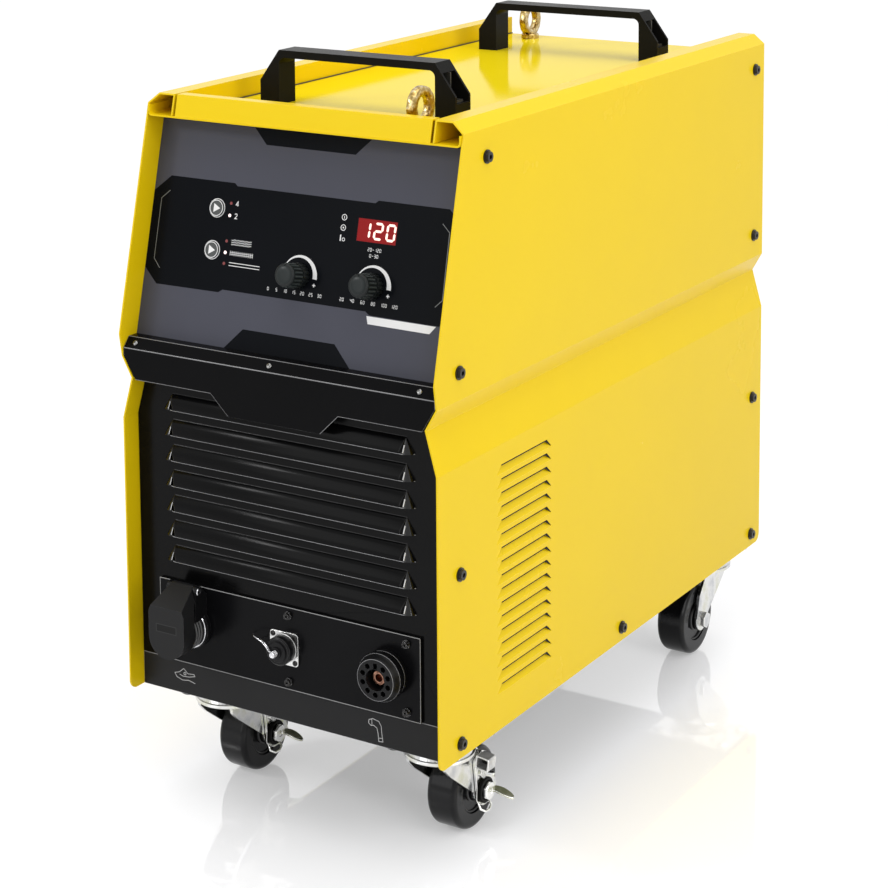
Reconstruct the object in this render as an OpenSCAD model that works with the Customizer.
/* [Case] */
// Width over the two side panels
case_w = 330; // [300:5:380]
// Depth of the side panels along their foot
case_d = 657; // [620:1:720]
// Height of the side panels from foot to top
case_h = 545; // [535:5:570]
// Thickness of the sheet metal
sheet = 1.5; // [1:0.1:2]
// Gap between neighbouring sheets
sheet_gap = 0.3; // [0.2:0.05:0.5]
// How deep the top cover lies below the side panels
cover_drop = 18; // [14:0.5:24]

/* [Side panels] */
// Width of the folded channel along the top
channel_w = 29; // [24:1:36]
// Width of the bevel on the outer top edge
bevel_w = 11.5; // [6:0.5:14]
// Height of the bevel on the outer top edge
bevel_h = 9.5; // [6:0.5:12]
// Depth of the pressed groove
groove_depth = 10.5; // [6:0.5:13]
// Height of the groove's lower crease above the foot
groove_low = 256; // [250:1:262]
// Height of the groove's bottom above the foot
groove_mid = 294; // [288:1:298]
// Height of the groove's upper crease above the foot
groove_high = 312.5; // [306:0.5:318]
// Height above the foot where the front edge starts to lean back
nose_h = 333.5; // [325:0.5:340]
// How far the front edge stands forward there
nose_out = 3.5; // [0:0.5:6]
// How far the front edge has gone back at the top
lean_back = 48; // [30:1:60]
// Radius of the bottom corners
foot_r = 9; // [4:1:14]

/* [Side louvres] */
// Number of louvres in one side panel
side_louvres = 17; // [8:1:18]
// Length of one louvre
side_louvre_len = 99; // [60:1:120]
// Height from one louvre to the next
side_louvre_pitch = 12.3; // [12:0.1:12.6]
// Height of one louvre's opening
side_louvre_open = 8.2; // [7:0.1:10]
// How far a louvre's upper edge is pressed in
side_louvre_in = 4.5; // [3:0.5:6]
// Distance of the louvres behind the front edge
side_louvre_y = 96.5; // [90:0.5:120]
// Height of the lowest louvre's crease above the foot
side_louvre_z = 33; // [30:0.5:36]
// How much the slanted ends shorten the upper edge on each side
side_louvre_slant = 9; // [4:0.5:12]

/* [Side screws] */
// Diameter of a screw's flanged head
side_screw_head = 12; // [10:0.5:14]
// Diameter of a screw's shank
side_screw_d = 5.8; // [4:0.1:6]
// Height of the lowest row of screws above the foot
screw_row_1 = 13.4; // [12:0.1:15]
// Height of the second row of screws above the foot
screw_row_2 = 162.4; // [150:0.1:180]
// Height of the third row of screws above the foot
screw_row_3 = 336.5; // [332:0.5:350]
// Distance of the top row of screws below the top
screw_row_4 = 34; // [33:1:65]
// Distance of the rear screws from the rear edge
rear_screw_y = 22.8; // [20:0.1:26]
// Distance of the lower front screws from the front edge
front_screw_y = 35; // [32:0.5:38]
// Distance of the top front screw from the front edge
top_screw_y = 82.5; // [78:0.5:86]
// Distance of the middle screw from the front edge
mid_screw_y = 334; // [250:1:400]

/* [Control panel] */
// How far the control panel lies behind the front edge
control_recess = 23.7; // [20:0.1:28]
// Height from the overlay's lower edge to where the front edge starts to lean
overlay_low = 5.5; // [3:0.5:8]
// Height from the overlay's upper edge to the front bar
overlay_gap = 5; // [4:0.5:20]
// Thickness of the overlay
overlay_t = 0.8; // [0.5:0.1:1]
// Thickness of the control panel plate
control_t = 2; // [1.5:0.1:3]
// Width of the display window
display_w = 39.5; // [36:0.5:42]
// Height of the display window
display_h = 19.5; // [17:0.5:21]
// Position of the display to the right of the middle
display_x = 77.3; // [60:0.1:90]
// Distance of the display's middle below the overlay's top
display_s = 77.5; // [70:0.5:80]
// Diameter of a button
button_d = 14.8; // [12:0.1:16]
// Travel of a button
button_travel = 1; // [0.5:0.1:1.5]
// Position of the buttons to the left of the middle
button_x = 91.5; // [85:0.5:110]
// Distance of the upper button below the overlay's top
button_s1 = 75; // [60:0.5:80]
// Distance of the lower button below the overlay's top
button_s2 = 112.2; // [100:0.2:130]
// Diameter of a knob's cap
knob_d = 20; // [16:0.5:22]
// Diameter of a knob's fluted skirt
knob_skirt_d = 23; // [22:0.5:26]
// Length of a knob
knob_len = 23; // [15:0.5:26]
// Diameter of a potentiometer's shaft
pot_shaft_d = 6; // [5:0.1:6.35]
// Position of the left knob
knob_x1 = 3.5; // [-10:0.5:20]
// Position of the right knob
knob_x2 = 79; // [70:0.5:100]
// Distance of the knobs below the overlay's top
knob_s = 124; // [115:0.5:128]

/* [Front] */
// How far the grille and apron lie behind the front edge
front_recess = 19; // [16:0.5:24]
// Height of the apron
apron_h = 31; // [28:0.5:36]
// Height of the hood's straight lower edge above the foot
hood_low = 292.5; // [290:0.5:300]
// Height of the hood's tongue above the foot
tongue_low = 274.5; // [270:0.5:285]
// Half width of the tongue at its foot
tongue_half = 48.5; // [30:0.5:70]
// Number of louvres in the front grille
grille_louvres = 7; // [3:1:7]
// How much narrower than the case a grille louvre is
grille_louvre_margin = 84; // [70:2:150]
// Height from one grille louvre to the next
grille_pitch = 23.35; // [23:0.05:24]
// Height of one grille louvre
grille_louvre_h = 14; // [11:0.5:17]
// How far a grille louvre stands out
grille_louvre_out = 6.5; // [4:0.5:8]
// Height of the lowest grille louvre's lip above the foot
grille_low = 125.3; // [122:0.1:128]

/* [Connector plate] */
// How much narrower than the case the connector plate is
plate_margin = 53; // [40:1:70]
// Height of the connector plate
plate_h = 75; // [70:0.5:78]
// Thickness of the connector plate
plate_t = 3; // [2:0.5:4]
// Offset of the connector plate's middle
plate_x = -1.5; // [-4:0.5:4]
// Distance of the torch and earth sockets from the side panels
port_inset = 61.5; // [57:0.5:70]
// Diameter of the torch socket's ring
torch_d = 42; // [36:0.5:46]
// How far the torch socket stands out of the plate
torch_out = 19; // [15:0.5:24]
// Number of pilot pin holes in the torch socket
torch_pins = 10; // [6:1:10]
// Diameter of the earth socket's barrel
earth_d = 35; // [30:0.5:35]
// How far the earth socket's cap stands out of the plate
earth_out = 39; // [34:0.5:44]
// Width of the earth socket's cap
earth_cap_w = 39; // [38.5:0.5:44]
// Side of the remote connector's square flange
remote_flange = 30; // [26:0.5:34]
// Offset of the remote connector from the middle
remote_x = -2; // [-8:0.5:8]

/* [Top] */
// Length of a carrying handle
handle_len = 208; // [180:2:240]
// Width of a carrying handle
handle_w = 25.5; // [20:0.5:30]
// Height of a carrying handle
handle_h = 50.5; // [42:0.5:60]
// Thickness of the handle's grip bar
grip_t = 7; // [6:0.5:10]
// Width of a handle's foot
handle_foot = 21; // [18:0.5:26]
// Distance of the front handle from the front edge
front_handle_y = 134; // [120:1:170]
// Distance of the rear handle from the rear edge
rear_handle_y = 102; // [80:1:130]
// Outer diameter of an eye bolt's ring
eye_d = 36; // [30:1:40]
// Thickness of an eye bolt's ring
eye_t = 8; // [6:0.5:9]
// Diameter of an eye bolt's collar
eye_collar_d = 19; // [16:0.5:22]
// Sideways distance of the eye bolts from the middle
eye_x = 99; // [80:1:110]
// Distance of the rear eye bolt from the rear edge
rear_eye_y = 34; // [28:1:50]
// Distance of the front eye bolt from the front edge
front_eye_y = 93; // [84:1:100]

/* [Rear] */
// How far the rear panel lies in front of the rear edge
rear_recess = 12; // [8:0.5:16]
// Diameter of the fan's air way
fan_d = 144; // [120:2:150]
// Depth of the fan's frame
fan_t = 38; // [25:1:50]
// Height of the fan's middle above the foot
fan_z = 140; // [120:1:145]
// Number of fan blades
fan_blades = 7; // [5:1:9]
// Number of wire rings in the fan guard
guard_rings = 5; // [3:1:6]
// Position of the air regulator beside the middle
regulator_x = 80; // [60:1:100]
// Diameter of the air regulator's knob
regulator_knob_d = 34; // [28:1:38]
// Position of the mains switch beside the middle
switch_x = -84; // [-110:1:-60]
// Height of the mains switch's middle above the foot
switch_z = 420; // [400:1:450]
// Diameter of the mains cable's way through its gland
gland_bore = 17; // [12:0.5:18]

/* [Casters] */
// Height of a caster from the floor to its mounting plate
caster_h = 107; // [100:1:120]
// Diameter of a wheel
wheel_d = 75; // [63:1:80]
// Width of a wheel
wheel_w = 30; // [24:1:34]
// Distance of a wheel's axle behind its swivel
trail = 38; // [32:1:42]
// Diameter of an axle
axle_d = 10; // [8:0.5:12]
// Distance of the swivels from the side panels
swivel_inset = 51; // [47:1:65]
// Distance of the front swivels from the front edge
front_swivel_y = 83; // [80:1:95]
// Distance of the rear swivels from the rear edge
rear_swivel_y = 37; // [34:1:60]
// Clearance round every turning shaft
shaft_clear = 0.06; // [0.03:0.01:0.1]

/* [Hidden] */
$fn = 48;

// Levels of the case
foot_z = caster_h;
top_z = foot_z + case_h;
cover_z = top_z - cover_drop;
shelf_z = cover_z - sheet;
half_w = case_w / 2;
inner_w = half_w - sheet;
channel_x = half_w - channel_w;
ledge_w = 12;
cover_gap = 0.8;
panel_flange = 34;
hair = 0.05;
cut = 1;

// Rear equipment that reaches furthest back
regulator_stand = 14;
regulator_w = 44;
gauge_t = 16;
rear_reach = regulator_stand + regulator_w + gauge_t - rear_recess;
front_reach = earth_out - front_recess + plate_t;

// Depth positions of the case, centred over the whole unit
total_d = front_reach + case_d + rear_reach;
front_y = front_reach - total_d / 2;
rear_y = front_y + case_d;
face_y = front_y + front_recess;
port_y = face_y - plate_t;
back_y = rear_y - rear_recess;

// Lean of the upper front
lean = atan((lean_back + nose_out) / (case_h - nose_h));
nose_y = front_y - nose_out;
nose_z = foot_z + nose_h;
panel_z = nose_z - overlay_low;
panel_y = lean_y(panel_z) + control_recess / cos(lean);
overlay_len = (shelf_z - sheet - overlay_gap - panel_z) / cos(lean);
bar_back_y = panel_y + overlay_len * sin(lean) + 8;
bar_top_d = 11;

function lean_y(z) = nose_y + (z - nose_z) * tan(lean);

// Folded sheet: a path and its mitred copy one sheet away
function way(p, i) = (p[i + 1] - p[i]) / norm(p[i + 1] - p[i]);
function left_of(d) = [-d[1], d[0]];
function mitre(p, i, t) =
    i == 0 ? p[0] + t * left_of(way(p, 0))
    : i == len(p) - 1 ? p[i] + t * left_of(way(p, i - 1))
    : p[i] + t * (left_of(way(p, i - 1)) + left_of(way(p, i))) / (1 + way(p, i - 1) * way(p, i));
function folded(p, t) = concat(p, [for (i = [len(p) - 1:-1:0]) mitre(p, i, t)]);
function folded_right(p, t) = folded(p, -t);

side_path = [
    [half_w, foot_z],
    [half_w, foot_z + groove_low],
    [half_w - groove_depth, foot_z + groove_mid],
    [half_w, foot_z + groove_high],
    [half_w, top_z - bevel_h],
    [half_w - bevel_w, top_z],
    [channel_x, top_z],
    [channel_x, shelf_z],
    [channel_x - ledge_w, shelf_z]
];

// Side screws as [distance along the depth, height]
side_screw_spots = [
    [rear_y - rear_screw_y, foot_z + screw_row_1],
    [rear_y - rear_screw_y, foot_z + screw_row_2],
    [rear_y - rear_screw_y, foot_z + screw_row_3],
    [rear_y - rear_screw_y, top_z - screw_row_4],
    [front_y + front_screw_y, foot_z + screw_row_1],
    [front_y + front_screw_y, foot_z + screw_row_2],
    [front_y + front_screw_y, foot_z + screw_row_3],
    [front_y + top_screw_y, top_z - screw_row_4],
    [front_y + mid_screw_y, foot_z + screw_row_1]
];

// Grille and connectors
grille_louvre_w = case_w - grille_louvre_margin;
plate_w = case_w - plate_margin;
port_x = half_w - port_inset;
port_z = foot_z + apron_h + plate_h / 2 + 1;
plate_low = foot_z + apron_h + 0.5;
plate_screw_side = half_w - 41.5;
plate_screw_mid = 1.5;
plate_screw_xs = [-plate_screw_side, plate_screw_mid, plate_screw_side];
plate_screw_inset = 7.2;
port_bore = 28;
remote_bore = 20;
torch_pin_r = 13.2;
torch_pin_d = 5;
torch_well = 19;
earth_hinge_y = port_y - 12;
earth_hinge_z = port_z + 37.5;
hinge_pin_d = 4;
knuckle_r = 5;
lug_x = 12;
lug_t = 4;
lug_gap = 0.5;

// Controls
board_gap = 14;
board_low = 20;
board_high = overlay_len - 46.5;
board_t = 1.6;
lamp_xs = -77;
lamp_ss = [69.6, 80.4, 102.8, 112.6, 122.4];
lamp_d = 3.2;
bush_d = 9;

// Inside
deck_h = 190;
deck_t = 2;
deck_z = foot_z + deck_h;
deck_front = front_y + 90;
deck_back = back_y - 80;
deck_half = 140;
deck_flange = 16;
core_w = 150;
core_d = 70;
core_h = 120;
core_edge = 32;
core_foot = 28;
window_w = 30;
window_h = 64;
coil_out = 14;
sink_w = 200;
sink_len = 260;
sink_y = front_y + case_d * 0.28;
fin_h = 44;
fin_t = 2.5;
sink_base = 8;
board_post = 16;
capacitor_d = 35;
capacitor_h = 50;
fan_frame_w = fan_d + 14;
fan_hub_d = 52;
fan_shaft_d = 6;

// Rear
switch_w = 54;
switch_h = 84;
switch_d = 52;
switch_face = 45;
lever_y = back_y + 2;
lever_r = 8;
lever_slot = 34;
gland_z = foot_z + 300;
gland_thread = 25;
regulator_z = foot_z + 440;
regulator_y = back_y + regulator_stand + regulator_w / 2;
regulator_post_d = 12;
air_pipe = 13;

// Handles and eye bolts
handle_mid_1 = front_y + front_handle_y + handle_w / 2;
handle_mid_2 = rear_y - rear_handle_y - handle_w / 2;
handle_bolt_x = handle_len / 2 - handle_foot / 2;
eye_rise = 38.5;
eye_shank = 8;
eye_spots = [[eye_x, front_y + front_eye_y], [-eye_x, rear_y - rear_eye_y]];

// Casters
crown_z = caster_h - 24.5;
crown_r = 32;
cup_z = caster_h - 10;
fork_gap = wheel_w + 4;
fork_t = 3;
kingpin_d = 12;
plate_caster = [92, 64, 3];
axle_z = wheel_d / 2;
brake_t = 2.5;
front_swivel = front_y + front_swivel_y;
rear_swivel = rear_y - rear_swivel_y;
swivel_x = half_w - swivel_inset;

// ---- Helpers ----

// Sweep an outline drawn as [across, height] along the depth
module along_y(y0, y1) {
    translate([0, y1, 0])
        rotate([90, 0, 0])
            linear_extrude(y1 - y0)
                children();
}

// Sweep an outline drawn as [depth, height] across the width
module along_x(x0, x1) {
    translate([x0, 0, 0])
        rotate([90, 0, 90])
            linear_extrude(x1 - x0)
                children();
}

// Turn a piece built up from the floor so that it points to the front
module facing_front(x, y, z) {
    translate([x, y, z])
        rotate([90, 0, 0])
            children();
}

// Turn a piece built up from the floor so that it points to the back
module facing_back(x, y, z) {
    translate([x, y, z])
        rotate([-90, 0, 0])
            children();
}

// Turn a piece built up from the floor so that it points to the right
module facing_right(x, y, z) {
    translate([x, y, z])
        rotate([0, 90, 0])
            children();
}

// Both hands of a piece drawn on the right
module both_sides() {
    children();
    mirror([1, 0, 0])
        children();
}

// The overlay's own plane: across, up the slope, out of the face
module on_panel() {
    translate([0, panel_y, panel_z])
        rotate([90 - lean, 0, 0])
            children();
}

// Place on the overlay, measured down from its top edge
module at_panel(x, s) {
    on_panel()
        translate([x, overlay_len - s, 0])
            children();
}

// Space between the side panels, less a gap all round
module inside_outline(gap) {
    right = [for (i = [0:3]) mitre(side_path, i, sheet + gap)];
    roof = [[inner_w - gap, shelf_z - sheet], [gap - inner_w, shelf_z - sheet]];
    left = [for (i = [3:-1:0]) [-right[i][0], right[i][1]]];
    polygon(concat(right, roof, left));
}

// Sheet across the case, cut to clear the side panels
module cross_sheet(y, z0, z1) {
    intersection() {
        along_y(y, y + sheet)
            inside_outline(sheet_gap);
        translate([-half_w, y - cut, z0])
            cube([case_w, sheet + 2 * cut, z1 - z0]);
    }
}

// Flanges along both side panels
module side_flanges(y0, y1, z0, z1) {
    intersection() {
        along_y(y0, y1)
            difference() {
                inside_outline(sheet_gap);
                inside_outline(sheet_gap + sheet);
            }
        translate([-half_w, y0 - cut, z0])
            cube([case_w, y1 - y0 + 2 * cut, z1 - z0]);
    }
}

// Drillings for the side screws
module screw_drillings(d) {
    for (spot = side_screw_spots)
        both_sides()
            facing_right(inner_w - 4 * sheet, spot[0], spot[1])
                cylinder(h = 8 * sheet, d = d);
}

// Washer-faced machine screw standing on its head's underside
module flanged_screw(head, shank, reach) {
    translate([0, 0, -reach])
        cylinder(h = reach, d = shank);
    difference() {
        union() {
            cylinder(h = 1.4, d = head);
            cylinder(h = 4, d = head * 0.74);
        }
        translate([0, 0, 2])
            cylinder(h = 3, d = head * 0.36, $fn = 6);
    }
}

// ---- Case ----

// Upright outline of a side panel
module side_outline() {
    difference() {
        polygon([
            [front_y, foot_z],
            [rear_y, foot_z],
            [rear_y, top_z],
            [front_y + lean_back, top_z],
            [nose_y, nose_z],
            [front_y, foot_z + groove_high]
        ]);
        difference() {
            translate([front_y - cut, foot_z - cut])
                square(foot_r + cut);
            translate([front_y + foot_r, foot_z + foot_r])
                circle(foot_r);
        }
        difference() {
            translate([rear_y - foot_r, foot_z - cut])
                square(foot_r + cut);
            translate([rear_y - foot_r, foot_z + foot_r])
                circle(foot_r);
        }
    }
}

// Outline of one louvre window as [depth, height]
module louvre_window(y, z) {
    polygon([
        [y, z],
        [y + side_louvre_len, z],
        [y + side_louvre_len - side_louvre_slant, z + side_louvre_open],
        [y + side_louvre_slant, z + side_louvre_open]
    ]);
}

// Tongue pressed in at its upper edge
module louvre_tongue(y, z) {
    intersection() {
        along_y(y, y + side_louvre_len)
            polygon([
                [half_w - hair, z],
                [half_w - side_louvre_in, z + side_louvre_open],
                [half_w - side_louvre_in - sheet, z + side_louvre_open],
                [half_w - sheet, z]
            ]);
        along_x(half_w - side_louvre_in - 2 * sheet, half_w)
            louvre_window(y, z);
    }
}

module side_panel() {
    louvre_y = front_y + side_louvre_y;
    louvre_z = foot_z + side_louvre_z;
    difference() {
        intersection() {
            along_y(nose_y, rear_y)
                polygon(folded(side_path, sheet));
            along_x(0, half_w)
                side_outline();
        }
        // room for the front bar's lower flange
        translate([0, nose_y, shelf_z - 2 * sheet])
            cube([inner_w, bar_back_y + sheet_gap - nose_y, 2 * sheet + sheet_gap]);
        // room for the cover's rear flange
        translate([0, rear_y - 8, shelf_z - 2 * sheet])
            cube([channel_x, 8 + cut, 3 * sheet]);
        screw_drillings(side_screw_d + 0.4);
        for (i = [0:side_louvres - 1])
            along_x(inner_w - cut, half_w + cut)
                louvre_window(louvre_y, louvre_z + i * side_louvre_pitch);
    }
    for (i = [0:side_louvres - 1])
        louvre_tongue(louvre_y, louvre_z + i * side_louvre_pitch);
}

module right_side_panel() {
    color("gold") side_panel();
}

module left_side_panel() {
    mirror([1, 0, 0]) right_side_panel();
}

module side_screws() {
    color("dimgray")
        for (spot = side_screw_spots)
            both_sides()
                facing_right(half_w, spot[0], spot[1])
                    flanged_screw(side_screw_head, side_screw_d, 14);
}

// Cover between the side panels, drilled for the handles and eye bolts
module top_cover() {
    y0 = front_y + lean_back + 4;
    y1 = rear_y - 2;
    w = channel_x - cover_gap;
    color("gold")
        difference() {
            union() {
                translate([-w, y0, shelf_z])
                    cube([2 * w, y1 - y0, sheet]);
                translate([-w, y1 - sheet, cover_z - 18])
                    cube([2 * w, sheet, 18]);
            }
            for (spot = eye_spots)
                translate([spot[0], spot[1], shelf_z - cut])
                    cylinder(h = sheet + 2 * cut, d = eye_shank + 2 * hair);
            for (y = [handle_mid_1, handle_mid_2])
                both_sides()
                    translate([handle_bolt_x, y, shelf_z - cut])
                        cylinder(h = sheet + 2 * cut, d = 6.5);
        }
}

// Lip across the front, a folded channel with upturned ends below it
module front_top_bar() {
    lip_w = channel_x - 2.7;
    flange_w = inner_w - sheet_gap;
    low = shelf_z - sheet;
    low_y = lean_y(low);
    top_y = lean_y(top_z);
    curl = 4;
    tab = 6;
    lip = [
        [low_y, low],
        [top_y, top_z],
        [top_y + bar_top_d, top_z],
        [top_y + bar_top_d, cover_z]
    ];
    color("gold") {
        along_x(-lip_w, lip_w)
            polygon(folded_right(lip, sheet));
        translate([-flange_w + curl, low_y, low])
            cube([2 * (flange_w - curl), bar_back_y - low_y, sheet]);
        both_sides() {
            translate([flange_w - curl, bar_back_y, low + curl])
                rotate([90, 0, 0])
                    rotate([0, 0, -90])
                        linear_extrude(bar_back_y - low_y)
                            difference() {
                                intersection() {
                                    circle(curl);
                                    square(curl);
                                }
                                circle(curl - sheet);
                            }
            translate([flange_w - sheet, low_y, low + curl])
                cube([sheet, bar_back_y - low_y - 2, tab]);
        }
    }
}

module rear_panel() {
    color("dimgray")
        difference() {
            union() {
                cross_sheet(back_y - sheet, foot_z, shelf_z - sheet);
                side_flanges(back_y - panel_flange, back_y - sheet + hair, foot_z + 4, shelf_z - 5);
            }
            screw_drillings(side_screw_d + 2 * hair);
            // fan opening
            facing_front(0, back_y + cut, foot_z + fan_z)
                cylinder(h = sheet + 2 * cut, d = fan_d);
            // mains switch window
            translate([switch_x - switch_w / 2 - 0.3, back_y - 2 * sheet, foot_z + switch_z - switch_face / 2 - 0.3])
                cube([switch_w + 0.6, 3 * sheet, switch_face + 0.6]);
            // cable gland and air way
            facing_front(switch_x, back_y + cut, gland_z)
                cylinder(h = sheet + 2 * cut, d = gland_thread + 2 * hair);
            facing_front(regulator_x, back_y + cut, regulator_z)
                cylinder(h = sheet + 2 * cut, d = air_pipe + 2 * hair);
            // ventilation slots above the fan
            for (i = [0:5])
                translate([-60, back_y - 2 * sheet, foot_z + fan_z + fan_d / 2 + 24 + i * 12])
                    cube([120, 3 * sheet, 5]);
        }
}

module base_tray() {
    y0 = face_y + sheet;
    y1 = back_y - sheet;
    color("dimgray")
        difference() {
            union() {
                translate([sheet_gap - inner_w, y0, foot_z])
                    cube([2 * (inner_w - sheet_gap), y1 - y0, sheet]);
                side_flanges(y0 + panel_flange, y1 - panel_flange, foot_z, foot_z + 26);
            }
            screw_drillings(side_screw_d + 2 * hair);
        }
}

module base_apron() {
    color("dimgray")
        difference() {
            union() {
                cross_sheet(face_y, foot_z, foot_z + apron_h);
                side_flanges(face_y + sheet - hair, face_y + panel_flange, foot_z + sheet + hair, foot_z + apron_h);
            }
            screw_drillings(side_screw_d + 2 * hair);
        }
}

// ---- Control panel ----

module control_panel() {
    plate_z = -overlay_t - control_t;
    w = inner_w - sheet_gap;
    rise = 4.6;
    color("dimgray")
        difference() {
            on_panel()
                union() {
                    translate([-w, -2, plate_z])
                        cube([2 * w, overlay_len + 2 + rise, control_t]);
                    both_sides()
                        translate([w - sheet, 4, plate_z - panel_flange + control_t])
                            cube([sheet, overlay_len - 8, panel_flange]);
                }
            screw_drillings(side_screw_d + 2 * hair);
            // the front bar's flange lies on top
            translate([-case_w, front_y, shelf_z - sheet])
                cube([2 * case_w, 200, 50]);
            panel_openings(plate_z - cut, control_t + 2 * cut, 0.3);
        }
}

// Openings shared by the overlay and the plate behind it
module panel_openings(z, t, extra) {
    at_panel(display_x, display_s)
        translate([-display_w / 2 - extra, -display_h / 2 - extra, z])
            cube([display_w + 2 * extra, display_h + 2 * extra, t]);
    for (s = lamp_ss)
        at_panel(lamp_xs, s)
            translate([0, 0, z])
                cylinder(h = t, d = lamp_d + 2 * extra);
    for (s = [button_s1, button_s2])
        at_panel(-button_x, s)
            translate([0, 0, z])
                cylinder(h = t, d = button_d + 0.6);
    for (x = [knob_x1, knob_x2])
        at_panel(x, knob_s)
            translate([0, 0, z])
                cylinder(h = t, d = bush_d + 0.2);
}

module overlay() {
    w = inner_w - sheet_gap;
    color("darkslategray")
        difference() {
            on_panel()
                translate([-w, 0, -overlay_t])
                    cube([2 * w, overlay_len, overlay_t]);
            panel_openings(-overlay_t - cut, overlay_t + 2 * cut, 0);
        }
}

// All behind the overlay is stacked on the board
module control_board() {
    face = -overlay_t - control_t - board_gap;
    color("darkgreen")
        difference() {
            on_panel()
                union() {
                    translate([-120, board_low, face - board_t])
                        cube([240, board_high - board_low, board_t]);
                    for (x = [-112, 112], y = [board_low + 8, board_high - 8])
                        translate([x, y, face - hair])
                            cylinder(h = board_gap + hair, d = 6);
                    for (s = [button_s1, button_s2])
                        translate([-button_x, overlay_len - s, face - hair])
                            cylinder(h = 5, d = 7);
                }
            for (x = [knob_x1, knob_x2])
                at_panel(x, knob_s)
                    translate([0, 0, face - 3])
                        cylinder(h = 6, d = 5);
        }
}

module display_module() {
    depth = overlay_t + control_t + board_gap - 0.3;
    color("darkred")
        at_panel(display_x, display_s)
            translate([-display_w / 2, -display_h / 2, -depth - 0.3])
                cube([display_w, display_h, depth]);
}

module indicator_lamps() {
    depth = overlay_t + control_t + board_gap;
    color("tomato")
        for (s = lamp_ss)
            at_panel(lamp_xs, s)
                translate([0, 0, -depth])
                    cylinder(h = depth, d = lamp_d);
}

module potentiometers() {
    back = -overlay_t - control_t;
    color("silver")
        for (x = [knob_x1, knob_x2])
            at_panel(x, knob_s) {
                translate([0, 0, back - board_gap])
                    cylinder(h = board_gap, d = 16);
                translate([0, 0, back - hair])
                    cylinder(h = control_t + overlay_t + 3, d = bush_d);
                translate([0, 0, -hair])
                    cylinder(h = knob_len - 4, d = pot_shaft_d);
            }
}

// Push button: cap, collar behind the plate and stem
module button(s) {
    back = -overlay_t - control_t;
    color("dimgray")
        at_panel(-button_x, s) {
            translate([0, 0, back - 0.1 - hair])
                cylinder(h = 1.5 - back + hair, d = button_d);
            translate([0, 0, back - 2.1])
                cylinder(h = 2, d = button_d + 4);
            translate([0, 0, back - board_gap + 5 + button_travel + 0.2])
                cylinder(h = board_gap - 7 - button_travel, d = 5);
        }
}

module button_upper() {
    button(button_s1);
}

module button_lower() {
    button(button_s2);
}

module knob(x) {
    skirt_h = 8;
    flutes = 18;
    color("dimgray")
        at_panel(x, knob_s)
            difference() {
                union() {
                    translate([0, 0, 0.6])
                        cylinder(h = skirt_h, d = knob_skirt_d);
                    translate([0, 0, skirt_h])
                        cylinder(h = knob_len - skirt_h - 1, d = knob_d);
                    translate([0, 0, knob_len - 1 - hair])
                        cylinder(h = 1 + hair, d1 = knob_d, d2 = knob_d - 2);
                }
                for (i = [0:flutes - 1])
                    rotate([0, 0, (i + 0.5) * 360 / flutes])
                        translate([knob_skirt_d / 2 + 0.4, 0, 0])
                            cylinder(h = skirt_h + 2, r = 1.3);
                // room for the bush, then the shaft's own bore
                cylinder(h = 4, d = bush_d + 1);
                cylinder(h = knob_len - 3.5, d = pot_shaft_d + 2 * shaft_clear);
                // line that shows the setting
                translate([-0.6, knob_d / 2 - 7, knob_len - 0.6])
                    cube([1.2, 8, 1]);
            }
}

module knob_post_flow() {
    knob(knob_x1);
}

module knob_current() {
    knob(knob_x2);
}

// ---- Lower front ----

// Hood between control panel and grille; inset thins it to a shell
module hood_solid(inset) {
    low = foot_z + hood_low;
    tongue = foot_z + tongue_low;
    end_x = inner_w - 0.5 - inset;
    cheek_x = end_x - 13;
    nose = foot_z + groove_high + sheet;
    crest = panel_z + 1.5 - inset;
    drop = inset > 0 ? 5 : 0;
    intersection() {
        along_y(front_y - 2, face_y + drop)
            polygon([
                [tongue_half - inset, tongue - drop],
                [tongue_half + 18.5 - inset, low - drop],
                [cheek_x, low - drop],
                [cheek_x, low],
                [end_x, nose],
                [end_x, crest],
                [-end_x, crest],
                [-end_x, nose],
                [-cheek_x, low],
                [-cheek_x, low - drop],
                [inset - tongue_half - 18.5, low - drop],
                [inset - tongue_half, tongue - drop]
            ]);
        along_x(-inner_w, inner_w)
            polygon([
                [front_y + inset, tongue - drop],
                [face_y + drop, tongue - drop],
                [face_y + drop, crest - (inset > 0 ? 8 : 5)],
                [panel_y - sheet_gap, crest],
                [front_y + 8, crest],
                [front_y + inset, crest - 9]
            ]);
    }
}

module hood() {
    color("dimgray")
        difference() {
            hood_solid(0);
            hood_solid(2.5);
        }
}

// Pressed grille louvre: a bulge with round ends, open below
module louvre_bulge(w, out, r) {
    intersection() {
        along_x(-w / 2 - cut, w / 2 + cut)
            mirror([1, 0])
                bulge_section(out, r);
        translate([0, 0, -cut])
            linear_extrude(2 * r) {
                translate([out - w / 2, -out - cut])
                    square([w - 2 * out, out + 2 * cut]);
                for (side = [-1, 1])
                    translate([side * (w / 2 - out), -0.5])
                        circle(out);
            }
    }
}

module bulge_section(out, r) {
    intersection() {
        translate([out - r, 0])
            circle(r);
        square([out, 2 * r]);
    }
}

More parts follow.
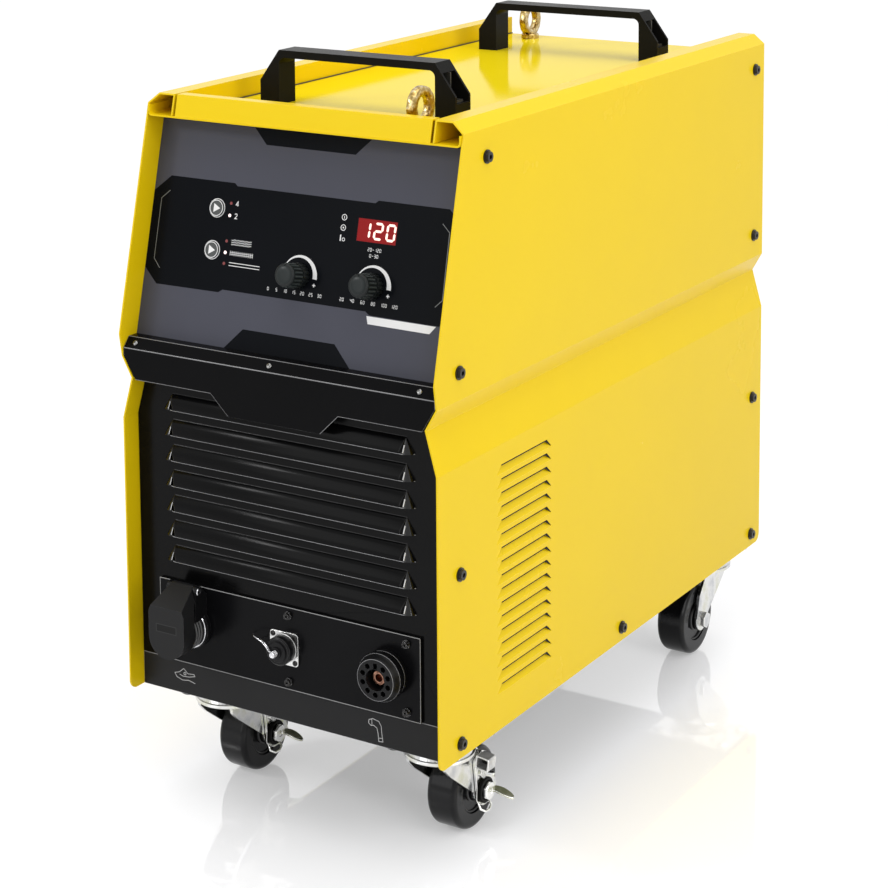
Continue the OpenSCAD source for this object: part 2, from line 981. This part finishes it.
module front_grille() {
    z0 = foot_z + apron_h + 0.2;
    z1 = panel_z - 4.5;
    o = grille_louvre_out;
    r = (o * o + grille_louvre_h * grille_louvre_h) / (2 * o);
    slot_h = sqrt(pow(r - sheet, 2) - pow(r - o, 2));
    color("dimgray")
        difference() {
            union() {
                cross_sheet(face_y, z0, z1);
                side_flanges(face_y + sheet - hair, face_y + panel_flange, z0, z1);
                for (i = [0:grille_louvres - 1])
                    translate([0, face_y + hair, foot_z + grille_low + i * grille_pitch])
                        louvre_bulge(grille_louvre_w, o + hair, r);
            }
            for (i = [0:grille_louvres - 1])
                translate([0, face_y, foot_z + grille_low + i * grille_pitch]) {
                    translate([0, 0, -hair])
                        louvre_bulge(grille_louvre_w - 2 * sheet, o - sheet, r - sheet);
                    translate([3 * sheet - grille_louvre_w / 2, 0, 0])
                        cube([grille_louvre_w - 6 * sheet, 2 * sheet, slot_h - sheet]);
                }
            screw_drillings(side_screw_d + 2 * hair);
            for (x = [-port_x, port_x])
                facing_front(x, face_y + 2 * sheet, port_z)
                    cylinder(h = 3 * sheet, d = port_bore + 2);
            facing_front(remote_x, face_y + 2 * sheet, port_z)
                cylinder(h = 3 * sheet, d = remote_bore + 2);
            plate_screw_holes(4 + 2 * hair);
        }
}

module plate_screw_holes(d) {
    for (x = plate_screw_xs, z = [plate_low + plate_screw_inset, plate_low + plate_h - plate_screw_inset])
        facing_front(x, face_y + 2 * sheet, z)
            cylinder(h = 4 * sheet + plate_t, d = d);
}

module connector_plate() {
    color("dimgray")
        difference() {
            translate([plate_x - plate_w / 2, port_y, plate_low])
                cube([plate_w, plate_t, plate_h]);
            for (x = [-port_x, port_x])
                facing_front(x, face_y + cut, port_z)
                    cylinder(h = plate_t + 2 * cut, d = port_bore + 2 * hair);
            facing_front(remote_x, face_y + cut, port_z)
                cylinder(h = plate_t + 2 * cut, d = remote_bore + 2 * hair);
            plate_screw_holes(4 + 2 * hair);
        }
}

module plate_screws() {
    color("gray")
        for (x = plate_screw_xs, z = [plate_low + plate_screw_inset, plate_low + plate_h - plate_screw_inset])
            facing_front(x, port_y, z)
                flanged_screw(7.5, 4, 10);
}

// Torch socket: knurl rings, a ring of pilot pin holes and the gas well
module torch_socket() {
    color("dimgray")
        facing_front(port_x, port_y, port_z)
            difference() {
                union() {
                    translate([0, 0, -26])
                        cylinder(h = 26 + hair, d = port_bore);
                    cylinder(h = 4.5, d = torch_d - 1);
                    cylinder(h = torch_out - 1, d = torch_d - 6);
                    translate([0, 0, 6.5])
                        cylinder(h = 6, d = torch_d);
                    translate([0, 0, 12.5 - hair])
                        cylinder(h = torch_out - 12.5, d1 = torch_d, d2 = torch_d - 6);
                }
                translate([0, 0, torch_out - 14])
                    cylinder(h = 16, d = torch_well);
                for (i = [1:torch_pins - 1])
                    rotate([0, 0, 90 + i * 360 / torch_pins])
                        translate([torch_pin_r, 0, torch_out - 10])
                            cylinder(h = 12, d = torch_pin_d);
                // key slot at the top
                translate([-2, torch_pin_r - 4.5, torch_out - 10])
                    cube([4, 6, 12]);
            }
}

module torch_contact() {
    color("peru")
        facing_front(port_x, port_y - torch_out + 14, port_z)
            difference() {
                cylinder(h = 8, d = 12);
                translate([0, 0, 1])
                    cylinder(h = 12, d = 7);
            }
}

// Work lead socket with the lugs that carry its cap
module earth_socket() {
    x = -port_x;
    pin_x = lug_x + lug_t + 0.6;
    color("dimgray")
        difference() {
            union() {
                facing_front(x, port_y, port_z) {
                    translate([0, 0, -24])
                        cylinder(h = 24 + hair, d = port_bore);
                    cylinder(h = 5, d = earth_d + 6);
                    cylinder(h = earth_out - 14, d = earth_d);
                }
                both_lugs(0);
                // hinge pin
                facing_right(x - pin_x, earth_hinge_y, earth_hinge_z)
                    cylinder(h = 2 * pin_x, d = hinge_pin_d);
            }
            // well for the plug
            facing_front(x, port_y + 10, port_z)
                cylinder(h = earth_out, d = 17);
        }
}

// The pair of hinge lugs, larger by a gap where a piece has to clear them
module both_lugs(gap) {
    reach = lug_t + (gap > 0 ? knuckle_r : 0);
    for (side = [-1, 1])
        translate([side * (lug_x - gap + reach / 2) - port_x, 0, 0])
            along_x(-reach / 2, reach / 2) {
                translate([earth_hinge_y, earth_hinge_z])
                    circle(knuckle_r + gap);
                polygon([
                    [earth_hinge_y - knuckle_r - gap, earth_hinge_z],
                    [earth_hinge_y - knuckle_r - gap, port_z + 10],
                    [port_y, port_z + 10],
                    [port_y, earth_hinge_z - 6 + gap],
                    [earth_hinge_y + 4, earth_hinge_z + 3 + gap]
                ]);
            }
}

module earth_cap() {
    x = -port_x;
    w = earth_cap_w;
    front = port_y - earth_out;
    kink = port_z + 27.5;
    depth = 16;
    knuckle = 2 * lug_x - 1;
    color("dimgray")
        difference() {
            union() {
                intersection() {
                    along_y(front, front + depth + 20) {
                        translate([x, port_z])
                            circle(d = w);
                        polygon([
                            [x - w / 2, port_z],
                            [x + w / 2, port_z],
                            [x + w / 2, port_z + 22],
                            [x + knuckle / 2, earth_hinge_z + 5],
                            [x - knuckle / 2, earth_hinge_z + 5],
                            [x - w / 2, port_z + 22]
                        ]);
                    }
                    along_x(x - w, x + w)
                        polygon([
                            [front, port_z - w],
                            [front + depth, port_z - w],
                            [front + depth, port_z + 24],
                            [earth_hinge_y - 3, earth_hinge_z - 4],
                            [earth_hinge_y - 3, earth_hinge_z + 4],
                            [front, kink]
                        ]);
                }
                facing_right(x - knuckle / 2, earth_hinge_y, earth_hinge_z)
                    cylinder(h = knuckle, r = knuckle_r);
            }
            facing_front(x, front + depth + cut, port_z)
                cylinder(h = depth + cut - 3, d = earth_d + 2);
            facing_right(x - w / 2, earth_hinge_y, earth_hinge_z)
                cylinder(h = w, d = hinge_pin_d + 2 * shaft_clear);
            both_lugs(lug_gap);
        }
}

module remote_connector() {
    f = remote_flange;
    color("silver")
        facing_front(remote_x, port_y, port_z)
            difference() {
                union() {
                    translate([-f / 2, -f / 2, 0])
                        cube([f, f, 2.5]);
                    translate([0, 0, -14])
                        cylinder(h = 14 + hair, d = remote_bore);
                    cylinder(h = 8, d = 21);
                }
                for (a = [-1, 1], b = [-1, 1])
                    translate([a * f * 0.4, b * f * 0.4, -cut])
                        cylinder(h = 5, d = 3.4);
                translate([0, 0, 2])
                    cylinder(h = 8, d = 16);
            }
}

module remote_cap() {
    color("dimgray")
        facing_front(remote_x, port_y, port_z)
            difference() {
                union() {
                    translate([0, 0, 3])
                        cylinder(h = 8.5, d = 25.5);
                    translate([0, 0, 11.5 - hair])
                        cylinder(h = 1, d1 = 25.5, d2 = 23);
                    translate([0, 0, 12])
                        cylinder(h = 1.5, d = 7);
                }
                translate([0, 0, 2])
                    cylinder(h = 6, d = 21 + 2 * hair);
            }
}

// ---- Top ----

module handle(mid_y) {
    e = handle_len / 2;
    inner_e = e - handle_foot;
    corner = 6;
    wall = 2.5;
    color("dimgray")
        translate([0, 0, cover_z])
            difference() {
                along_y(mid_y - handle_w / 2, mid_y + handle_w / 2)
                    difference() {
                        polygon([
                            [e, 0],
                            [e, handle_h * 0.43],
                            [inner_e, handle_h],
                            [-inner_e, handle_h],
                            [-e, handle_h * 0.43],
                            [-e, 0]
                        ]);
                        translate([-inner_e, -cut])
                            square([2 * inner_e, handle_h - grip_t - corner + cut]);
                        translate([corner - inner_e, -cut])
                            square([2 * (inner_e - corner), handle_h - grip_t + cut]);
                        for (side = [-1, 1])
                            translate([side * (inner_e - corner), handle_h - grip_t - corner])
                                circle(corner);
                    }
                // pockets in the sloping ends
                both_sides()
                    along_y(mid_y - handle_w / 2 + wall, mid_y + handle_w / 2 - wall)
                        polygon([
                            [e + cut, handle_h * 0.3],
                            [inner_e + 4, handle_h * 0.3],
                            [inner_e + 3, handle_h - grip_t - 2],
                            [e + cut, handle_h - grip_t - 2]
                        ]);
                both_sides()
                    translate([handle_bolt_x, mid_y, -cut])
                        cylinder(h = handle_h * 0.3 - 3, d = 5);
            }
}

module front_handle() {
    handle(handle_mid_1);
}

module rear_handle() {
    handle(handle_mid_2);
}

// Lifting eye bolts with their nuts under the cover
module eye_bolts() {
    ring_z = cover_z + eye_rise - eye_d / 2;
    color("goldenrod")
        for (spot = eye_spots)
            translate([spot[0], spot[1], 0]) {
                facing_right(0, 0, ring_z)
                    rotate_extrude()
                        translate([(eye_d - eye_t) / 2, 0])
                            intersection() {
                                circle(d = eye_t * 1.2);
                                square(eye_t, center = true);
                            }
                translate([0, 0, cover_z])
                    cylinder(h = 5, d = eye_collar_d);
                translate([0, 0, shelf_z - 10])
                    cylinder(h = 12, d = eye_shank);
                translate([0, 0, shelf_z - 7])
                    cylinder(h = 7, r = 7.5, $fn = 6);
            }
}

// ---- Inside ----

module deck() {
    floor_z = foot_z + sheet;
    length = deck_back - deck_front;
    color("silver") {
        translate([-deck_half, deck_front, deck_z])
            cube([2 * deck_half, length, deck_t]);
        both_sides() {
            translate([deck_half - deck_t, deck_front, floor_z])
                cube([deck_t, length, deck_z - floor_z + hair]);
            translate([deck_half - deck_t, deck_front, floor_z])
                cube([deck_flange, length, deck_t]);
        }
    }
}

// Laminated core with its winding round the middle leg
module transformer() {
    z = foot_z + sheet;
    y = front_y + case_d * 0.42;
    leg_w = core_w - 2 * (core_edge + window_w);
    coil_w = core_w - 2 * core_edge - 1;
    color("dimgray")
        difference() {
            translate([-core_w / 2, y, z])
                cube([core_w, core_d, core_h]);
            for (x = [core_edge, core_w - core_edge - window_w])
                translate([x - core_w / 2, y - cut, z + core_foot])
                    cube([window_w, core_d + 2 * cut, window_h]);
        }
    color("peru")
        translate([0, y, z + core_foot + 0.5])
            difference() {
                translate([-coil_w / 2, -coil_out, 0])
                    cube([coil_w, core_d + 2 * coil_out, window_h - 1]);
                translate([-leg_w / 2, 0, -cut])
                    cube([leg_w, core_d, window_h + cut]);
            }
}

module heat_sink() {
    fins = 17;
    color("silver")
        translate([-sink_w / 2, sink_y, deck_z + deck_t]) {
            translate([0, 0, fin_h])
                cube([sink_w, sink_len, sink_base]);
            for (i = [0:fins - 1])
                translate([i * (sink_w - fin_t) / (fins - 1), 0, 0])
                    cube([fin_t, sink_len, fin_h + hair]);
        }
}

// Board on posts with its capacitors, a choke and a small transformer
module power_board() {
    edge = 6;
    over = 4;
    part_z = board_post + board_t - 0.6;
    choke = sink_w * 0.3;
    color("darkgreen")
        translate([-sink_w / 2, sink_y, deck_z + deck_t + fin_h + sink_base]) {
            for (a = [edge, sink_w - edge], b = [edge, sink_len - edge])
                translate([a, b, 0])
                    cylinder(h = board_post, d = 7);
            translate([-over, -over, board_post - hair])
                cube([sink_w + 2 * over, sink_len + 2 * over, board_t]);
            for (i = [0:3])
                translate([sink_w / 2 + (i - 1.5) * (capacitor_d + 9), sink_len - 60, part_z])
                    cylinder(h = capacitor_h, d = capacitor_d);
            translate([sink_w * 0.15, 40, part_z])
                cube([choke, choke, capacitor_h * 0.8]);
            translate([sink_w * 0.6, 40, part_z])
                cube([sink_w * 0.25, 1.5 * choke, capacitor_h * 0.64]);
        }
}

// ---- Rear ----

module fan_frame() {
    w = fan_frame_w;
    color("dimgray")
        facing_front(0, back_y - sheet, foot_z + fan_z)
            difference() {
                union() {
                    difference() {
                        translate([-w / 2, -w / 2, 0])
                            cube([w, w, fan_t]);
                        translate([0, 0, -cut])
                            cylinder(h = fan_t + 2 * cut, d = fan_d);
                    }
                    // struts, motor and shaft
                    translate([0, 0, fan_t - 5])
                        cylinder(h = 5, d = fan_hub_d);
                    for (a = [45:90:315])
                        rotate([0, 0, a])
                            translate([0, -3, fan_t - 5])
                                cube([fan_d / 2 + 3, 6, 5]);
                    translate([0, 0, 4])
                        cylinder(h = fan_t - 5, d = fan_shaft_d);
                }
                for (a = [45:90:315])
                    rotate([0, 0, a])
                        translate([w * 0.655, 0, -cut])
                            cylinder(h = fan_t + 2 * cut, d = 4.5);
            }
}

module fan_rotor() {
    depth = fan_t - 10;
    color("gray")
        facing_front(0, back_y - sheet - 2, foot_z + fan_z)
            difference() {
                intersection() {
                    union() {
                        cylinder(h = depth, d = fan_hub_d - 4);
                        for (i = [0:fan_blades - 1])
                            rotate([0, 0, i * 360 / fan_blades])
                                translate([0, 0, depth / 2])
                                    rotate([38, 0, 0])
                                        translate([fan_hub_d / 2 - 6, -17, -1])
                                            cube([fan_d / 2 - fan_hub_d / 2 + 8, 34, 2]);
                    }
                    cylinder(h = depth, d = fan_d - 3);
                }
                translate([0, 0, 1.6])
                    cylinder(h = depth, d = fan_shaft_d + 2 * shaft_clear);
            }
}

module fan_guard() {
    wire = 2.5;
    step = (fan_d / 2 - 6) / guard_rings;
    color("silver")
        facing_back(0, back_y, foot_z + fan_z) {
            for (i = [1:guard_rings])
                translate([0, 0, 4 + wire / 2])
                    rotate_extrude()
                        translate([6 + i * step, 0])
                            circle(d = wire);
            translate([0, 0, 3])
                cylinder(h = 1.6, d = 30);
            for (a = [45:90:315])
                rotate([0, 0, a]) {
                    facing_right(10, 0, 4)
                        cylinder(h = fan_frame_w * 0.655 - 10, d = wire);
                    difference() {
                        translate([fan_frame_w * 0.655, 0, 0])
                            cylinder(h = 5.2, d = 10);
                        translate([fan_frame_w * 0.655, 0, -cut])
                            cylinder(h = 8, d = 4.5);
                    }
                }
        }
}

module mains_breaker() {
    z = foot_z + switch_z;
    color("gainsboro")
        difference() {
            union() {
                translate([switch_x - switch_w / 2, back_y - sheet - switch_d, z - switch_h / 2])
                    cube([switch_w, switch_d, switch_h]);
                translate([switch_x - switch_w / 2, back_y - sheet - hair, z - switch_face / 2])
                    cube([switch_w, sheet + hair + 5, switch_face]);
            }
            // slot for the lever
            facing_right(switch_x - lever_slot / 2 - 0.5, lever_y, z)
                cylinder(h = lever_slot + 1, r = lever_r + 0.5);
            // clear way for the lever's paddle
            translate([switch_x - lever_slot / 2 - 0.5, lever_y, z - 12])
                cube([lever_slot + 1, 20, 24]);
        }
    color("gainsboro")
        facing_right(switch_x - lever_slot / 2 - 1, lever_y, z)
            cylinder(h = lever_slot + 2, d = 3);
}

module breaker_lever() {
    z = foot_z + switch_z;
    color("dimgray")
        difference() {
            union() {
                facing_right(switch_x - lever_slot / 2, lever_y, z)
                    cylinder(h = lever_slot, r = lever_r);
                translate([switch_x - lever_slot / 2, lever_y, z])
                    rotate([-35, 0, 0])
                        translate([0, 0, -3])
                            cube([lever_slot, 17, 6]);
            }
            facing_right(switch_x - lever_slot, lever_y, z)
                cylinder(h = 2 * lever_slot, d = 3 + 2 * shaft_clear);
        }
}

module cable_gland() {
    color("dimgray")
        facing_back(switch_x, back_y, gland_z)
            difference() {
                union() {
                    cylinder(h = 7, r = 20, $fn = 6);
                    translate([0, 0, 7 - hair])
                        cylinder(h = 5, d = 30);
                    translate([0, 0, 12 - 2 * hair])
                        cylinder(h = 14, r = 18.5, $fn = 6);
                    translate([0, 0, 26 - 3 * hair])
                        cylinder(h = 8, d1 = 32, d2 = 25);
                    translate([0, 0, -sheet - 10])
                        cylinder(h = 12 + sheet, d = gland_thread);
                    translate([0, 0, -sheet - 6])
                        cylinder(h = 6, r = 18, $fn = 6);
                }
                translate([0, 0, -20])
                    cylinder(h = 60, d = gland_bore);
            }
}

// Air filter and regulator that stands off the rear panel on its pipe
module regulator_body() {
    w = regulator_w;
    y = regulator_y;
    color("gainsboro")
        difference() {
            union() {
                translate([regulator_x - w / 2, y - w / 2, regulator_z - 22])
                    cube([w, w, 44]);
                translate([regulator_x, y, regulator_z + 22 - hair])
                    cylinder(h = 18, d = 36);
                translate([regulator_x, y, regulator_z + 39])
                    cylinder(h = 24, d = regulator_post_d);
                // pipe through the panel with its collar and nut
                facing_front(regulator_x, y, regulator_z)
                    cylinder(h = w / 2 + regulator_stand + sheet + 16, d = air_pipe);
                facing_front(regulator_x, y - w / 2 + hair, regulator_z)
                    cylinder(h = regulator_stand + hair, d = 22);
                facing_front(regulator_x, back_y - sheet, regulator_z)
                    cylinder(h = 6, r = 12, $fn = 6);
                // inlet spigot
                facing_right(regulator_x + w / 2 - hair, y, regulator_z) {
                    cylinder(h = 8, r = 10, $fn = 6);
                    translate([0, 0, 7])
                        cylinder(h = 22, d = 10);
                    for (i = [0:2])
                        translate([0, 0, 12 + i * 5])
                            cylinder(h = 4, d1 = 12.4, d2 = 10);
                }
            }
            facing_right(regulator_x, y, regulator_z)
                cylinder(h = 60, d = 6.5);
            // seat for the bowl
            translate([regulator_x, y, regulator_z - 22 - cut])
                cylinder(h = 8 + cut, d = 34 + 2 * hair);
        }
}

module regulator_bowl() {
    y = regulator_y;
    color("lightsteelblue")
        translate([regulator_x, y, regulator_z - 22]) {
            translate([0, 0, -48])
                cylinder(h = 56, d = 34);
            translate([0, 0, -48])
                sphere(d = 34);
            translate([0, 0, -12])
                cylinder(h = 12, d = 40);
            translate([0, 0, -72])
                cylinder(h = 12, d = 9);
        }
}

module regulator_knob() {
    y = regulator_y;
    ribs = 20;
    color("dimgray")
        translate([regulator_x, y, regulator_z + 40.5])
            difference() {
                union() {
                    cylinder(h = 24, d = regulator_knob_d);
                    translate([0, 0, 24 - hair])
                        cylinder(h = 3, d1 = regulator_knob_d, d2 = regulator_knob_d - 5);
                }
                for (i = [0:ribs - 1])
                    rotate([0, 0, i * 360 / ribs])
                        translate([regulator_knob_d / 2 + 0.5, 0, 3])
                            cylinder(h = 18, r = 1.4);
                translate([0, 0, -cut])
                    cylinder(h = 23.2 + cut, d = regulator_post_d + 2 * shaft_clear);
            }
}

module pressure_gauge() {
    y = back_y + regulator_stand + regulator_w;
    color("silver")
        facing_back(regulator_x, y, regulator_z) {
            cylinder(h = 5, d = 12);
            translate([0, 0, 4])
                difference() {
                    cylinder(h = gauge_t - 4, d = 40);
                    translate([0, 0, gauge_t - 6])
                        cylinder(h = 3, d = 35);
                }
        }
}

// ---- Casters ----

// Mounting plate, upper ball race and riveted kingpin
module caster_plate() {
    p = plate_caster;
    difference() {
        union() {
            translate([-p[0] / 2, -p[1] / 2, caster_h - p[2]])
                cube(p);
            translate([0, 0, cup_z])
                cylinder(h = caster_h - p[2] - cup_z + hair, r = crown_r - 2);
            translate([0, 0, crown_z - 2])
                cylinder(h = cup_z - crown_z + 3, d = kingpin_d);
            translate([0, 0, crown_z - 5])
                cylinder(h = 4.7, r = 9);
        }
        for (a = [-1, 1], b = [-1, 1])
            translate([a * (p[0] / 2 - 8), b * (p[1] / 2 - 9), caster_h - p[2] - cut])
                cylinder(h = p[2] + 2 * cut, d = 8.5);
    }
}

module caster_plates() {
    color("silver")
        for (side = [-1, 1], y = [front_swivel, rear_swivel])
            translate([side * swivel_x, y, 0])
                caster_plate();
}

// Fork with the axle trailing towards +depth
module fork() {
    x0 = fork_gap / 2;
    color("silver") difference() {
        union() {
            translate([0, 0, crown_z])
                cylinder(h = 3, r = crown_r);
            translate([0, 0, crown_z + 3 - hair])
                cylinder(h = cup_z - crown_z - 3.3, r1 = crown_r - 2, r2 = crown_r - 6);
            for (side = [-1, 1])
                translate([side * (x0 + fork_t / 2), 0, 0])
                    along_x(-fork_t / 2, fork_t / 2) {
                        polygon([
                            [-24, crown_z + 1],
                            [27, crown_z + 1],
                            [trail + 5, crown_z - 18],
                            [trail + 11.8, axle_z + 4],
                            [trail + 6, axle_z - 10],
                            [trail - 6, axle_z - 10],
                            [trail - 11.5, axle_z],
                            [-14, crown_z - 14],
                            [-22, crown_z - 6]
                        ]);
                        translate([trail, axle_z])
                            circle(12);
                    }
        }
        translate([0, 0, crown_z - cut])
            cylinder(h = cup_z - crown_z + 2 * cut, d = kingpin_d + 2 * shaft_clear);
        facing_right(-fork_gap, trail, axle_z)
            cylinder(h = 2 * fork_gap, d = axle_d + 2 * hair);
    }
}

module axle(braked) {
    x1 = fork_gap / 2 + fork_t;
    head_x = x1 + (braked ? brake_t + 0.8 : 0);
    color("silver") translate([0, trail, axle_z])
        rotate([0, 90, 0]) {
            translate([0, 0, -x1 - 1])
                cylinder(h = head_x + x1 + 2, d = axle_d);
            translate([0, 0, head_x])
                cylinder(h = 6, r = 8.6, $fn = 6);
            translate([0, 0, -x1 - 6])
                cylinder(h = 6, r = 8.6, $fn = 6);
        }
}

// Tyre with rounded shoulders and a stepped hub
module wheel() {
    r = wheel_d / 2;
    w = wheel_w / 2;
    shoulder = 5;
    color("dimgray") translate([0, trail, axle_z])
        rotate([0, 90, 0])
            rotate_extrude() {
                translate([axle_d / 2 + shaft_clear, -w - 1.5])
                    square([7, 2 * w + 3]);
                translate([axle_d / 2 + shaft_clear, 3 - w])
                    square([r - axle_d, 2 * w - 6]);
                translate([r * 0.62, -w])
                    square([r * 0.38 - shoulder, 2 * w]);
                translate([r - shoulder, shoulder - w])
                    square([shoulder, 2 * (w - shoulder)]);
                for (side = [-1, 1])
                    translate([r - shoulder, side * (w - shoulder)])
                        circle(shoulder);
            }
}

// Brake pedal that turns on the axle outside the fork
module brake() {
    x = fork_gap / 2 + fork_t + 0.4;
    x1 = x + brake_t;
    color("silver") translate([0, trail, axle_z])
        difference() {
            union() {
                along_x(x, x1) {
                    circle(13);
                    polygon([
                        [-10, 2],
                        [-16, 30],
                        [-3, 38],
                        [6, 34],
                        [10, 2]
                    ]);
                    polygon([
                        [-1, -11],
                        [18, -4],
                        [20, 4],
                        [5, 6]
                    ]);
                }
                // tab to press at the top, bent out and down
                along_y(-13, -2)
                    polygon([
                        [x1 - 1, 28],
                        [x1 + 9, 28],
                        [x1 + 17, 34],
                        [x1 + 15.5, 36],
                        [x1 + 8, 30.5],
                        [x1 - 1, 30.5]
                    ]);
                // foot tab, bent out
                along_y(10, 18)
                    polygon([
                        [x1 - 1, 0],
                        [x1 + 20, -3],
                        [x1 + 20, -0.5],
                        [x1 - 1, 2.5]
                    ]);
            }
            facing_right(x - cut, 0, 0)
                cylinder(h = brake_t + 2 * cut, d = axle_d + 2 * shaft_clear);
        }
}

// Put a caster in its corner; rear casters trail forwards
module at_corner(side, front) {
    translate([side * swivel_x, front ? front_swivel : rear_swivel, 0])
        mirror([0, front ? 0 : 1, 0])
            children();
}

module fork_front_left() {
    at_corner(-1, true) fork();
}

module fork_front_right() {
    at_corner(1, true) fork();
}

module fork_rear_left() {
    at_corner(-1, false) fork();
}

module fork_rear_right() {
    at_corner(1, false) fork();
}

module axle_front_left() {
    at_corner(-1, true) axle(true);
}

module axle_front_right() {
    at_corner(1, true) axle(true);
}

module axle_rear_left() {
    at_corner(-1, false) axle(false);
}

module axle_rear_right() {
    at_corner(1, false) axle(false);
}

module wheel_front_left() {
    at_corner(-1, true) wheel();
}

module wheel_front_right() {
    at_corner(1, true) wheel();
}

module wheel_rear_left() {
    at_corner(-1, false) wheel();
}

module wheel_rear_right() {
    at_corner(1, false) wheel();
}

module brake_front_left() {
    at_corner(-1, true) brake();
}

module brake_front_right() {
    at_corner(1, true) brake();
}

base_tray();
base_apron();
left_side_panel();
right_side_panel();
top_cover();
front_top_bar();
control_panel();
overlay();
display_module();
indicator_lamps();
potentiometers();
control_board();
button_upper();
button_lower();
knob_post_flow();
knob_current();
hood();
front_grille();
connector_plate();
plate_screws();
torch_socket();
torch_contact();
earth_socket();
earth_cap();
remote_connector();
remote_cap();
front_handle();
rear_handle();
eye_bolts();
side_screws();
deck();
transformer();
heat_sink();
power_board();
rear_panel();
fan_frame();
fan_rotor();
fan_guard();
mains_breaker();
breaker_lever();
cable_gland();
regulator_body();
regulator_bowl();
regulator_knob();
pressure_gauge();
caster_plates();
fork_front_left();
fork_front_right();
fork_rear_left();
fork_rear_right();
axle_front_left();
axle_front_right();
axle_rear_left();
axle_rear_right();
wheel_front_left();
wheel_front_right();
wheel_rear_left();
wheel_rear_right();
brake_front_left();
brake_front_right();
